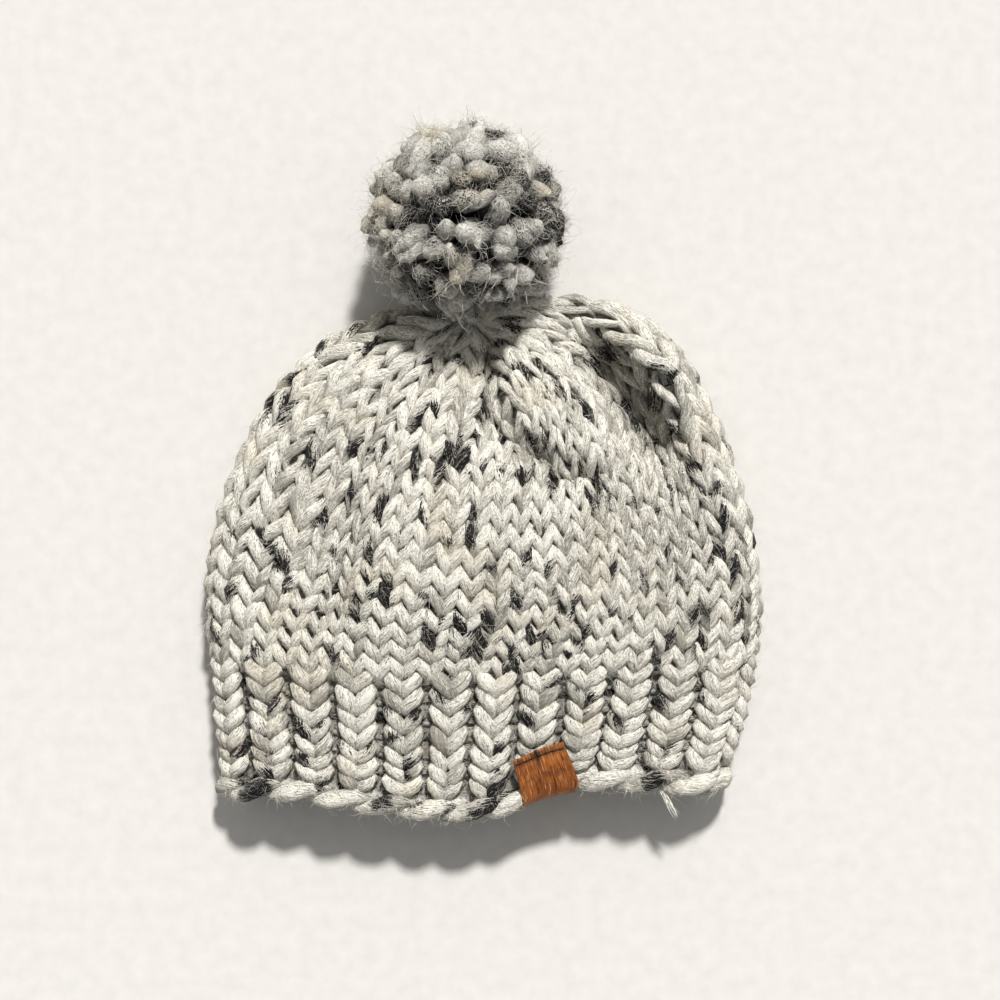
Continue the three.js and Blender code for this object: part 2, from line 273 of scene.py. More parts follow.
# The middle of the wall. turn: 0 at the right side, 0.25 on the front, 0.5 at the left side.
def hatMiddle(turn, row):
    turn, row = np.broadcast_arrays(np.asarray(turn, float), np.asarray(row, float))
    at = np.clip(row, 0, lastRow)
    ring = {name: curveThrough(rings["at"], rings[name], at) for name in ringColumns[1:]}
    share = turn % 1.0
    front = share < 0.5
    across = spread(np.where(front, 1 - 4 * share, 4 * share - 3))
    wide = (ring["right"] - ring["left"]) / 2
    half = wide - np.minimum(halfWall, wide)
    x = (ring["left"] + ring["right"]) / 2 + across * half
    sideUp = ring["leftUp"] + (ring["rightUp"] - ring["leftUp"]) * (across + 1) / 2
    crest = np.where(front, ring["frontUp"], ring["backUp"])
    waves = np.array(hemWaves)
    fading = np.maximum(0, 1 - at / hat["bandCourses"])
    wave = fading * curveThrough(waves[:, 0], waves[:, 1], across) * bandRise
    y = sideUp + (crest - (ring["leftUp"] + ring["rightUp"]) / 2) * (1 - across**2) + wave
    under = ring["side"] - np.maximum(ring["under"], halfWall)
    rise = np.where(front, ring["top"] - ring["side"], under)
    profile = bulge(across, half, rise)
    z = ring["side"] + np.where(front, rise - foldDepth(x, y), -rise) * profile
    return np.stack([x, y, z], -1)


def unit(vectors):
    return vectors / np.maximum(np.linalg.norm(vectors, axis=-1, keepdims=True), 1e-12)


def hatTangents(turn, row):
    step = 1e-3
    low, high = np.clip(row - step, 0, lastRow), np.clip(row + step, 0, lastRow)
    around = (hatMiddle(turn + step, row) - hatMiddle(turn - step, row)) / (2 * step)
    up = (hatMiddle(turn, high) - hatMiddle(turn, low)) / (high - low)[..., None]
    return around, up


# A place on the wall, so far out from its middle, and the way out. It stops short of the gather.
def hatSurface(turn, row, offset=0.0):
    row = np.clip(row, 0, lastRow - hat["gathered"])
    turn, row = np.broadcast_arrays(np.asarray(turn, float), row)
    around, up = hatTangents(turn, row)
    outward = unit(np.cross(up, around))
    return hatMiddle(turn, row) + outward * np.asarray(offset)[..., None], outward


def smooth(value, low, high):
    s = np.clip((value - low) / (high - low), 0, 1)
    return s * s * (3 - 2 * s)


# The leather tag's place on the hem, and how far the knitting is pressed flat under it. The hem
# slopes, so the front is made longer by frontMore, to look as long as it is.
tag = {
    "width": 0.0254, "height": 0.0205, "thick": 0.0013, "gap": 0.0003, "place": 0.235,
    "topShare": 0.82, "frontMore": 0.0038, "cuts": 30, "rim": 0.0005, "pinch": 0.0010,
    "pinchPlace": -0.0018, "pinchWidth": 0.0012, "pinchFrom": 0.30, "pinchTo": 0.92,
    "seamDown": 0.0020, "seamSink": 0.00035, "seamWidth": 0.0007,
    "crinkle": 0.00010, "crinkles": 2600, "crinkleBends": 420, "puff": 0.0005,
    "press": 0.0017, "pressSoft": 0.0040, "pressInset": 0.001,
}
hemSteps = np.linspace(0, 0.5, 4001)
hemAcross = hatMiddle(hemSteps, np.zeros_like(hemSteps))[:, 0]
tagTurn = np.interp(-tag["place"] * halfWidth, -hemAcross, hemSteps)
tagAround, tagUp = (tangent[0] for tangent in hatTangents(np.array([tagTurn]), np.zeros(1)))
tagLean = tagUp @ unit(tagAround)
tagSlant = tagLean / math.sqrt(tagUp @ tagUp - tagLean**2)
tagDrop = hat["edgeHeight"] / 2 + tag["gap"] + tag["thick"] / 2
tagLeg = tag["height"] - tagDrop - tag["thick"] / 2
frontLeg = tagLeg + tag["frontMore"]
tagMiddle = hatMiddle(np.array([tagTurn]), np.zeros(1))[0]
tagMiddle = tagMiddle + np.array([0.0, (frontLeg - tagDrop) / 2, 0.0])


# How much the tag covers a place on the hat, from 0 to 1
def underTag(turn, row):
    climb = row * np.linalg.norm(tagUp) / math.hypot(1, tagSlant)
    away = np.abs((tagTurn - turn) * np.linalg.norm(tagAround) - tagSlant * np.maximum(climb, 0))
    side, top = tag["width"] / 2 - tag["pressInset"], frontLeg - tag["pressInset"]
    beside = 1 - smooth(away, side, side + tag["pressSoft"])
    return beside * (1 - smooth(climb, top, top + tag["pressSoft"]))


# Tubes of the same number of points. paths: (tubes, points, 3). facing: the side that the seam
# turns away from.
def tubeArrays(paths, radii, facing, sides, closed=False):
    count, points = paths.shape[:2]
    if closed:
        ahead = np.roll(paths, -1, 1) - np.roll(paths, 1, 1)
    else:
        ahead = np.gradient(paths, axis=1)
    ahead = unit(ahead)
    sideways = unit(np.cross(ahead, facing))
    upright = np.cross(sideways, ahead)
    angle = 2 * np.pi * np.arange(sides) / sides
    cos, sin = np.cos(angle)[:, None], np.sin(angle)[:, None]
    out = -cos * upright[:, :, None] + sin * sideways[:, :, None]
    vertices = paths[:, :, None] + radii[:, :, None, None] * out
    index = np.arange(count * points * sides).reshape(count, points, sides)
    here, there = (index, np.roll(index, -1, 1)) if closed else (index[:, :-1], index[:, 1:])
    faces = np.stack([here, there, np.roll(there, -1, 2), np.roll(here, -1, 2)], -1).reshape(-1, 4)
    ends = [] if closed else [*index[:, 0, :], *index[:, -1, ::-1]]
    length = np.linalg.norm(np.diff(paths, axis=1, prepend=paths[:, :1]), axis=-1).cumsum(1)
    return {
        "vertices": vertices, "out": out, "faces": faces, "ends": ends, "length": length,
        "angle": angle}


# One mesh from several sets of tubes, with the values that the yarn's finish reads
def joinTubes(name, parts, attributes=()):
    vertices, faces, shift = [], [], 0
    for part in parts:
        flat = part["vertices"].reshape(-1, 3)
        vertices.append(flat)
        faces += (part["faces"] + shift).tolist()
        faces += [(end + shift).tolist() for end in part["ends"]]
        shift += len(flat)
    vertices = np.concatenate(vertices)
    vertices[:, 2] = np.maximum(vertices[:, 2], floorGap)
    mesh = bpy.data.meshes.new(name)
    mesh.from_pydata(vertices, [], faces)
    for field in attributes:
        setAttribute(mesh, field, np.concatenate([part[field].ravel() for part in parts]))
    mesh.polygons.foreach_set("use_smooth", np.ones(len(mesh.polygons), bool))
    return link(name, mesh)


# Soft lumps, from -1 to 1: four waves in random directions, each longer than the one before
def lumps(points, size):
    wave = np.zeros(points.shape[:-1])
    for k in range(4):
        direction = unit(rng.normal(size=3))
        long = size * (0.6 + 0.35 * k)
        wave += np.sin((points @ direction) * 2 * np.pi / long + rng.uniform(0, anyPhase))
    return wave / 4


# A tube's surface pushed in and out by lumps
def roughen(part, height, bump):
    part["vertices"] = part["vertices"] + part["out"] * (height * bump)[..., None]


# The yarn's own coordinates and colour values, for each vertex of some tubes
yarn = {
    "streakLength": 0.008, "streakWidth": 0.0009, "twist": 95.0,
    "fleckEvery": 0.050, "fleckLength": 0.0038, "fleckSizes": [0.6, 0.9, 1.3, 2.4],
    "fleckPower": 1.7, "greyEvery": 0.042, "greyLonger": 1.7, "greyPower": 1.0,
    "chartReach": 0.0034, "chartLeast": 0.58, "chartMore": 0.42,
    "chartSway": 0.8, "chartVary": 4000,
}
# The larger charcoal flecks on the front, some of them dark marks of painted shade in the deep fold
# at the upper right: x, y and half their length along the yarn, in mm
chartedFlecksAndShade = np.array([
    (4.9, -135.7, 16), (75, 10.5, 12), (62.1, 24, 10), (73.3, 31.6, 7), (47.5, 52.3, 8),
    (81.1, 19.2, 6), (49.2, -3.2, 7), (30.1, -3.2, 9), (-40.6, -102.9, 8), (-27.7, 7.5, 11),
    (-10.8, 6.5, 6), (-19.1, 2.8, 5), (-40.2, -48.3, 10), (-21.3, -66.4, 8), (-8.5, -65.5, 12),
    (74.6, -94.8, 6), (-54, 9.3, 6), (108.1, -57.8, 9), (-102.1, -87.9, 6), (-29, -100.4, 5),
    (-97.4, -131.8, 7), (12.3, 65.6, 5), (49.2, 60.9, 6), (-84.5, -38.5, 6), (-42.5, -15, 8),
    (-72, 3, 6), (-6, -26, 6), (20, -34, 7), (-89.7, 23.9, 6), (-82.3, 21.8, 5),
    (-104.7, -50.9, 5), (-1.5, -68.1, 6), (27.3, -69.4, 6), (41.5, -68.1, 5), (12.3, -55.2, 5),
    (38.1, -55.2, 6), (15.7, 42.4, 6), (30.7, 35.1, 5), (-47.9, 52.3, 6), (-89.2, -30.7, 3),
    (-69.4, -17.8, 6), (-48.8, -35, 5), (88.8, 1.5, 5), (-5.8, -16.5, 4),
]) / 1000
# Marled greyer wool and painted shade deep in the folds and on the right side: x, y and reach in
# mm, how grey
greyWoolAndPaintedShade = [
    (50, 50, 10, 0.8), (59, 39, 12, 1), (67, 27, 12, 1), (74, 14, 10, 0.9), (3, 45, 8, 0.6),
    (6, 28, 8, 0.7), (17, 10, 8, 0.7), (30, 0, 8, 0.6), (-36, 66, 8, 0.6), (-46, 73, 8, 0.6),
    (-62, -30, 14, 0.35), (-62, -55, 14, 0.35), (-62, -5, 14, 0.35), (72, -28, 34, 0.42),
    (88, -72, 26, 0.36), (-68, 12, 14, 0.4),
]


def nearPlaces(vertices, places):
    share = np.zeros(vertices.shape[:-1])
    for *spot, most in places:
        x, y, reach = np.array(spot) / 1000
        away = ((vertices[..., 0] - x) ** 2 + (vertices[..., 1] - y) ** 2) / reach**2
        share = np.maximum(share, most * np.exp(-(away**2)) * (vertices[..., 2] > frontFrom))
    return share


# How near the points of one tube are to a place along it, from 0 to 1
def nearAlong(length, place, reach):
    return np.exp(-(((length - place) / reach) ** 4))[:, None]


def yarnValues(part, darkness=1.0, charting=True):
    length, angle = part["length"], part["angle"]
    shape = part["vertices"].shape[:3]
    middles = part["vertices"].mean(2)
    turned = angle[None, None, :] + yarn["twist"] * length[:, :, None]
    radius = np.linalg.norm(part["vertices"] - middles[:, :, None], axis=-1)
    start = rng.uniform(0, 400, (shape[0], 1, 1))  # far enough apart that no two tubes match
    part["fibre"] = np.stack(np.broadcast_arrays(
        length[:, :, None] / yarn["streakLength"] + start,
        np.cos(turned) * radius / yarn["streakWidth"],
        np.sin(turned) * radius / yarn["streakWidth"]), -1)
    fleck, tone = np.zeros(shape), np.zeros(shape)
    kinds = (
        (yarn["fleckEvery"], yarn["fleckLength"], yarn["fleckPower"], fleck),
        (yarn["greyEvery"], yarn["fleckLength"] * yarn["greyLonger"], yarn["greyPower"], tone),
    )
    for i in range(shape[0]):
        whole = length[i, -1]
        for x, y, reach in chartedFlecksAndShade if charting else ():
            away = np.hypot(middles[i, :, 0] - x, middles[i, :, 1] - y)
            away = away + (middles[i, :, 2] < frontFrom)  # nothing on the back is near
            if away.min() < yarn["chartReach"]:
                near = nearAlong(length[i], length[i, away.argmin()], reach)
                seen = angle - math.pi - yarn["chartSway"] * math.sin(reach * yarn["chartVary"])
                facing = yarn["chartLeast"] + yarn["chartMore"] * np.cos(seen)
                fleck[i] = np.maximum(fleck[i], near * facing[None, :])
        for every, long, power, target in kinds:
            for _ in range(rng.poisson(darkness * whole / every)):
                place, side = rng.uniform(0, whole), rng.uniform(0, 2 * np.pi)
                near = nearAlong(length[i], place, long * rng.choice(yarn["fleckSizes"]))
                facing = (0.5 + 0.5 * np.cos(angle - side))[None, :]
                target[i] = np.maximum(target[i], near * facing**power)
    # the flecks include marks of painted shade in the fold; the tone adds greyer wool and painted
    # shade in the folds
    part["fleck"] = fleck
    part["tone"] = np.maximum(tone, nearPlaces(part["vertices"], greyWoolAndPaintedShade))
    return part


# The wool's finish, shared by every yarn material
woolInputs = {"Color": ("Pale", "Warm", "Grey", "Dark"), "Float": ("Depth", "Relief", "Streaks")}
woolLook = {
    "streakScale": 0.8, "fineScale": 2.3, "cloudScale": 0.23, "fuzzScale": 1200.0,
    "warmthScale": 38.0, "marlStretch": (0.7, 2.6, 2.6), "streakShare": 0.4, "fineShare": 0.6,
    "speckShare": 1.1, "toneShare": 0.6, "cloudShare": 0.9, "threadShare": 0.18,
    "fuzzRelief": 0.4, "bump": 0.0018,
    "grey": (0.28, 1.20), "thread": (0.59, 0.66), "dark": (0.42, 0.72), "warm": (0.50, 0.72),
}


def woolGroup():
    group = bpy.data.node_groups.new("woolYarn", "ShaderNodeTree")
    for kind, names in woolInputs.items():
        for name in names:
            group.interface.new_socket(name, in_out="INPUT", socket_type="NodeSocket" + kind)
    group.interface.new_socket("Color", in_out="OUTPUT", socket_type="NodeSocketColor")
    group.interface.new_socket("Normal", in_out="OUTPUT", socket_type="NodeSocketVector")
    given, look = group.nodes.new("NodeGroupInput").outputs, woolLook

    def plus(first, second):
        return calc(group, "ADD", first, second)

    def times(first, second):
        return calc(group, "MULTIPLY", first, second)

    def around(value):
        return calc(group, "SUBTRACT", value, 0.5)

    fibre = attribute(group, "fibre", "Vector")
    fleck, tone = attribute(group, "fleck"), attribute(group, "tone")
    warm, hollowShade = attribute(group, "warm"), attribute(group, "hollowShade")
    place = addNode(group, "ShaderNodeTexCoord").outputs["Object"]
    streak = noise(group, Vector=fibre, Scale=look["streakScale"], Detail=3.0, Roughness=0.6)
    fine = noise(group, Vector=fibre, Scale=look["fineScale"], Detail=2.0, Roughness=0.6)
    drawn = addNode(group, "ShaderNodeMapping", Vector=fibre, Scale=look["marlStretch"]).outputs[0]
    marl = noise(group, Vector=drawn, Scale=1.0, Detail=2.0, Roughness=0.6)
    cloud = noise(group, Vector=fibre, Scale=look["cloudScale"], Detail=1.0)
    fuzz = noise(group, Vector=place, Scale=look["fuzzScale"], Detail=2.0, Roughness=0.7)
    warmth = noise(group, Vector=place, Scale=look["warmthScale"], Detail=2.0)
    grain = plus(times(streak, look["streakShare"]), times(fine, look["fineShare"]))
    rough = times(around(grain), given["Streaks"])
    # painted shade: fine random specks stand for the shadows of the fuzz; the same noise also gives
    # relief to the bump
    fuzzShadeSpecks = times(around(fuzz), look["speckShare"])
    speckled = plus(rough, fuzzShadeSpecks)
    greyness = calc(group, "SUBTRACT", times(tone, look["toneShare"]), speckled)
    greyness = ramp(group, plus(greyness, times(cloud, look["cloudShare"])), *look["grey"])
    darkness = ramp(group, plus(fleck, speckled), *look["dark"])
    thread = times(ramp(group, marl, *look["thread"]), times(given["Streaks"], look["threadShare"]))
    beige = calc(group, "MAXIMUM", warm, ramp(group, warmth, *look["warm"]))
    pale = blend(group, beige, given["Pale"], given["Warm"])
    colour = blend(group, greyness, pale, given["Grey"])
    colour = blend(group, calc(group, "MAXIMUM", darkness, thread), colour, given["Dark"])
    # painted shade: the colour darkens towards Dark where the yarn lies deep in a hollow
    colour = blend(group, times(hollowShade, given["Depth"]), colour, given["Dark"])
    relief = plus(grain, times(fuzz, look["fuzzRelief"]))
    bump = addNode(
        group, "ShaderNodeBump", Height=relief, Strength=given["Relief"], Distance=look["bump"])
    output = group.nodes.new("NodeGroupOutput")
    group.links.new(colour, output.inputs["Color"])
    group.links.new(bump.outputs[0], output.inputs["Normal"])
    return group


wool = woolGroup()


def woolMaterial(name, **values):
    material, tree, shader = newMaterial(
        name, Roughness=0.9, Specular_IOR_Level=0.2, Sheen_Weight=0.12, Sheen_Roughness=0.5,
        Sheen_Tint=(1.0, 0.98, 0.95, 1.0))
    finish = addNode(tree, "ShaderNodeGroup", {"node_tree": wool}, **values)
    tree.links.new(finish.outputs["Color"], shader.inputs["Base Color"])
    tree.links.new(finish.outputs["Normal"], shader.inputs["Normal"])
    return material


ivoryWool = woolMaterial(
    "ivoryWool", Pale=(0.955, 0.935, 0.86, 1), Warm=(0.84, 0.79, 0.68, 1),
    Grey=(0.38, 0.365, 0.32, 1), Dark=(0.016, 0.015, 0.016, 1), Depth=0.84, Relief=1.0, Streaks=3.9)
pompomWool = woolMaterial(
    "pompomWool", Pale=(0.985, 0.97, 0.92, 1), Warm=(0.80, 0.73, 0.57, 1),
    Grey=(0.42, 0.405, 0.37, 1), Dark=(0.012, 0.011, 0.012, 1), Depth=0.96, Relief=1.2, Streaks=2.8)

# The knitting. Lengths are in metres, reach and wander in courses.
knit = {
    "wales": 50, "firstRow": 1.50, "bandCourses": 7, "bandStep": 0.99, "bodyCourses": 17,
    "bodyStep": 1.125, "domeFrom": 18, "tightest": 0.0088, "fewestWales": 7, "decreaseTurn": 0.37,
    "decreasePull": 0.22, "evenOut": 0.3, "evenTimes": 4,
    "wander": 0.16, "bandWander": 0.5, "reach": 0.92, "lean": 0.31, "depth": 0.0021,
    "thick": 0.0030, "thin": 0.0016, "purl": 0.0019, "fullWidth": 0.0105, "crowd": (0.68, 1.16),
    "knitShare": 0.72, "knitLift": 0.0001, "purlLift": -0.0038, "pressThin": 0.12,
    "hollowShadeFrom": -0.0035, "hollowShadeTo": 0.0022, "lumps": 0.0004, "lumpSize": 0.009,
    "samples": 16, "sides": 8,
}
# How much the stitches differ from each other
uneven = {"across": 0.035, "lean": 0.08, "reach": 0.05, "row": 0.04, "lift": 0.00025, "thick": 0.07}
# Where the body's wales lie: share from left to right, step across the front
crowding = [
    [0.0, -1.0], [0.152, -0.60], [0.29, -0.36], [0.436, -0.03],
    [0.576, 0.25], [0.856, 0.73], [1.0, 1.0],
]


# From a place in the count of stitches to a turn round the hat. The crowding begins over the band.
def turnOf(share, row):
    share = share % 1.0
    table = np.array(crowding)
    leftToRight = 1 - 2 * share
    step = curveThrough(table[:, 0], table[:, 1], np.clip(leftToRight, 0, 1))
    crowded = np.where(share < 0.5, (1 - step) / 4, share)
    return share + (crowded - share) * smooth(row, hat["bandCourses"] - 1, hat["bandCourses"] + 6)


# Each wale's neighbours, round the hat
def neighbours(middles):
    return np.append(middles[-1] - 1, middles[:-1]), np.append(middles[1:], middles[0] + 1)


# Middles of the wales in each course: decreases merge two neighbours, then the rest even out
def waleRows():
    rows = []
    middles = np.arange(knit["wales"]) / knit["wales"]
    steps = [knit["bandStep"]] * knit["bandCourses"] + [knit["bodyStep"]] * knit["bodyCourses"]
    places = knit["firstRow"] + np.cumsum([0.0] + steps[:-1])
    for course, (row, step) in enumerate(zip(places, steps)):
        ring = hatMiddle(np.linspace(0, 1, 200), np.full(200, row))
        girth = np.linalg.norm(np.diff(ring, axis=0), axis=1).sum()
        count = len(middles)
        fewer = count - max(knit["fewestWales"], min(count, round(girth / knit["tightest"])))
        if fewer > 0:
            turned = (knit["decreaseTurn"] * course) % 1
            merged = np.unique(np.floor((np.arange(fewer) + turned) * count / fewer).astype(int))
            gap = neighbours(middles)[1][merged] - middles[merged]
            rows[-1][2][merged] += knit["decreasePull"] * gap
            rows[-1][2][(merged + 1) % count] -= knit["decreasePull"] * gap
            middles[merged] += gap / 2
            middles = np.sort(np.delete(middles, (merged + 1) % count) % 1.0)
            for _ in range(knit["evenTimes"]):
                previous, following = neighbours(middles)
                middles = middles + knit["evenOut"] * ((previous + following) / 2 - middles)
            middles = np.sort(middles % 1.0)
        rows.append((row, step, middles.copy()))
    return rows


# A soft wandering over the knitting, from -1 to 1
wanderWaves = [
    (rng.integers(2, 9), rng.uniform(0.15, 0.8), rng.uniform(0, anyPhase)) for _ in range(9)]


def wander(share, row, shift):
    waves = (np.sin(2 * np.pi * a * share + b * row + c + shift * a) for a, b, c in wanderWaves)
    return sum(waves) / 3.2


# One course of stitches as one closed tube, that loops up and down once for each wale
def courseTube(row, step, middles, ribbed):
    middles = np.sort(middles)
    count = len(middles)
    following = neighbours(middles)[1]
    if ribbed:  # knit and purl columns take turns
        kind = np.where(np.arange(count) % 2 == 0, 1.0, -1.0)
        shares = np.where(kind > 0, knit["knitShare"], 1 - knit["knitShare"])
        border = middles + (following - middles) * shares
    else:
        kind = np.ones(count)
        border = (middles + following) / 2
    before = neighbours(border)[0]
    middles = middles + rng.normal(0, uneven["across"], count) * (border - before)
    t = 2 * np.pi * (np.arange(knit["samples"]) + 0.5) / knit["samples"]
    leftHalf, rightHalf = (middles - before)[:, None], (border - middles)[:, None]
    local = np.where(t < np.pi, leftHalf, rightHalf)
    lean = knit["lean"] * rng.normal(1, uneven["lean"], count)[:, None]
    share = middles[:, None] + local * (t / np.pi - 1) + 2 * local * lean * np.sin(2 * t)

    # a stitch turns towards the side of the next one where they meet
    nearStart, nearEnd = 1 - smooth(t, 0, np.pi / 4), smooth(t, 7 * np.pi / 4, 2 * np.pi)
    kind = kind[:, None]
    toBefore, toAfter = np.roll(kind, 1) - kind, np.roll(kind, -1) - kind
    side = kind + toBefore * nearStart / 2 + toAfter * nearEnd / 2
    reach = knit["reach"] * step * rng.normal(1, uneven["reach"], count)[:, None]
    drift = knit["wander"] * (knit["bandWander"] if ribbed else 1.0)
    shifted = rng.normal(0, uneven["row"], count)[:, None]
    rows = row - reach * np.cos(t) + shifted + drift * wander(share, row, 1.7)
    share = share + drift / count * wander(share, row, 0.4)
    lift = 0.0
    if ribbed:
        lift = knit["purlLift"] + (knit["knitLift"] - knit["purlLift"]) * (side + 1) / 2
    offset = -knit["depth"] * side * np.cos(2 * t) + lift
    offset = offset + rng.normal(0, uneven["lift"], count)[:, None]
    covered = underTag(turnOf(share, row), rows)
    offset = offset - tag["press"] * covered

    # the yarn is thinner where wales are crowded, in purls, at the loops' ends and under the tag
    flank = hatMiddle(turnOf(border, row), np.full(count, row))
    flank = flank - hatMiddle(turnOf(before, row), np.full(count, row))
    crowd = np.clip(np.linalg.norm(flank, axis=1) / knit["fullWidth"], *knit["crowd"])[:, None]
    plump = 0.5 - 0.5 * np.cos(2 * t)
    radius = np.where(kind > 0, knit["thin"] + (knit["thick"] - knit["thin"]) * plump, knit["purl"])
    radius = radius * crowd * rng.normal(1, uneven["thick"], count)[:, None]
    radius = (radius * (1 - knit["pressThin"] * covered)).ravel()
    radius = (np.roll(radius, 1) + 2 * radius + np.roll(radius, -1)) / 4
    path, outward = hatSurface(turnOf(share, row).ravel(), rows.ravel(), offset.ravel())
    part = tubeArrays(path[None], radius[None], outward[None], knit["sides"], closed=True)
    part["outward"] = np.broadcast_to(outward[None, :, None], part["vertices"].shape)
    # painted shade: the yarn is darkened where it lies deep below the knitting's surface
    rise = radius[None, :, None] * (part["out"] * part["outward"]).sum(-1)
    height = offset.ravel()[None, :, None] + rise
    part["hollowShade"] = 1 - smooth(height, knit["hollowShadeFrom"], knit["hollowShadeTo"])
    roughen(part, knit["lumps"], lumps(part["vertices"], knit["lumpSize"]))
    return yarnValues(part)


bandTubes, bodyTubes, domeTubes = [], [], []
for row, step, middles in waleRows():
    ribbed = row < hat["bandCourses"]
    part = courseTube(row, step, middles, ribbed)
    (bandTubes if ribbed else bodyTubes if row < knit["domeFrom"] else domeTubes).append(part)
yarnAttributes = ("fibre", "fleck", "tone", "hollowShade")
for name, tubes, slot, node in (
        ("ribbedBandKnit", bandTubes, "band_yarn", "ribbed_band"),
        ("bodyKnit", bodyTubes, "body_yarn", "crown"),
        ("domeKnit", domeTubes, "body_yarn", "crown")):
    finish(joinTubes(name, tubes, yarnAttributes), ivoryWool, slot, node)
print("stage: knitting")

# Matted fibre between the stitches, so no light passes through the knitting; it is coloured darker
# than the yarn, as painted shade
matting = {
    "around": 144, "up": 56, "from": 0.7, "to": 27.7, "depth": -0.0009, "thick": 0.0009,
    "bandDeeper": 0.0012, "bandFades": (7, 9), "grain": 900, "hollowShade": 0.55,
}
shape = bmesh.new()
bmesh.ops.create_grid(shape, x_segments=matting["around"], y_segments=matting["up"], size=0.5)
flat = np.array([v.co[:] for v in shape.verts]) + 0.5
mattingRows = matting["from"] + (matting["to"] - matting["from"]) * flat[:, 1]
inBand = 1 - smooth(mattingRows, *matting["bandFades"])
mattingDepth = matting["depth"] - matting["bandDeeper"] * inBand
for vertex, point in zip(shape.verts, hatSurface(flat[:, 0], mattingRows, mattingDepth)[0]):
    vertex.co = point
bmesh.ops.remove_doubles(shape, verts=shape.verts[:], dist=1e-6)
bmesh.ops.recalc_face_normals(shape, faces=shape.faces[:])
bmesh.ops.solidify(shape, geom=shape.faces[:], thickness=matting["thick"])
bmesh.ops.recalc_face_normals(shape, faces=shape.faces[:])
mesh = bpy.data.meshes.new("mattedFibre")
shape.to_mesh(mesh)
shape.free()
spots = np.zeros(len(mesh.vertices) * 3)
mesh.vertices.foreach_get("co", spots)
setAttribute(mesh, "fibre", spots * matting["grain"])
setAttribute(mesh, "hollowShade", np.full(len(spots) // 3, matting["hollowShade"]))
finish(link("mattedFibre", mesh), ivoryWool, "body_yarn", "crown")
print("stage: matted fibre between the stitches")

# The cast-on edge: two strands laid round each other
edge = {
    "turns": 12, "strand": 0.0034, "acrossWall": 0.0027, "upBand": 0.0026, "points": 700,
    "sides": 12, "swell": 0.16, "ripple": 0.06, "ripples": 31, "lumps": 0.0006, "lumpSize": 0.008,
    "pressAcross": 0.42, "pressUp": 0.15, "pressThin": 0.23, "darkness": 1.6,
}
edgeTubes = []
for strand in (0, 1):
    share = np.arange(edge["points"]) / edge["points"]
    hem = np.zeros_like(share)
    angle = -2 * np.pi * edge["turns"] * share + np.pi * strand
    around, up = hatTangents(share, hem)
    covered = underTag(share, hem)
    outwards = edge["acrossWall"] * (1 - edge["pressAcross"] * covered) * np.cos(angle)
    upwards = edge["upBand"] * (1 - edge["pressUp"] * covered) * np.sin(angle)
    path, outward = hatSurface(share, hem, outwards)
    path = path + unit(up) * upwards[:, None]
    ripple = edge["ripple"] * np.sin(2 * np.pi * edge["ripples"] * share + strand)
    plump = 1 + edge["swell"] * np.cos(angle) + ripple
    radius = edge["strand"] * (1 - edge["pressThin"] * covered) * plump
    part = tubeArrays(path[None], radius[None], outward[None], edge["sides"], closed=True)
    roughen(part, edge["lumps"], lumps(part["vertices"], edge["lumpSize"]))
    part["outward"] = np.broadcast_to(outward[None, :, None], part["vertices"].shape)
    # painted shade: the strands are darkened where they lie deep below the wall's surface
    height = (part["vertices"] - hatMiddle(share, hem)[None, :, None]) * part["outward"]
    part["hollowShade"] = 1 - smooth(height.sum(-1), knit["hollowShadeFrom"], knit["hollowShadeTo"])
    edgeTubes.append(yarnValues(part, darkness=edge["darkness"]))
finish(joinTubes("castOnEdge", edgeTubes, yarnAttributes), ivoryWool, "edge_yarn", "cast_on_edge")
print("stage: cast-on edge")

# The pompom: bent, bulging tufts of yarn. Lengths in metres, or shares of its radius.
pompom = {
    "tufts": 262, "sides": 9, "from": 0.42, "tips": (1.00, 1.08), "bentTips": 0.04, "scatter": 0.07,
    "thick": 0.0049, "thickness": (0.66, 1.25), "crestThicker": 0.28, "cap": 0.70,
    "bends": [0.3, 0.6, 1.0], "drift": 0.85, "curl": 0.0030,
    "lumps": 0.0015, "lumpSizes": (0.011, 0.0050), "smallLumps": 0.8,
    "hollowShadeFrom": 0.76, "hollowShadeTo": 1.03, "spot": 0.11, "spotMost": 0.50, "endMost": 0.82,
    "darkness": 0.4, "darkTufts": 0.06, "mottle": 0.15, "low": 0.16,
}
tuftSteps = np.array([0, 0.18, 0.36, 0.52, 0.66, 0.78, 0.87, 0.93, 0.975, 1.0])
tuftFat = ([0, 0.4, 0.7, 1], [0.42, 0.80, 1.0, 1.0])  # along a tuft, how thick
# Dark ends on the visible side: x and y from the pompom's middle, shares of its radius
charcoal = [
    (-0.18, 0.69), (0.27, 0.79), (0.27, 0.56), (0.52, 0.47), (0.83, 0.41), (-0.30, 0.38),
    (0.00, 0.36), (-0.27, 0.20), (0.08, 0.20), (-0.40, 0.08), (0.43, 0.17), (0.63, 0.23),
    (0.72, 0.08), (-0.57, -0.15), (-0.18, 0.06), (-0.31, -0.27), (0.22, -0.07), (0.93, -0.15),
    (0.67, -0.36), (0.16, -0.48), (-0.01, -0.39), (-0.50, -0.78),
]
radius = hat["pompom"] / 2
pompomCentre = np.array([rings["left"][-1], -hemLine - radius, radius * (1 - hat["pompomSag"])])


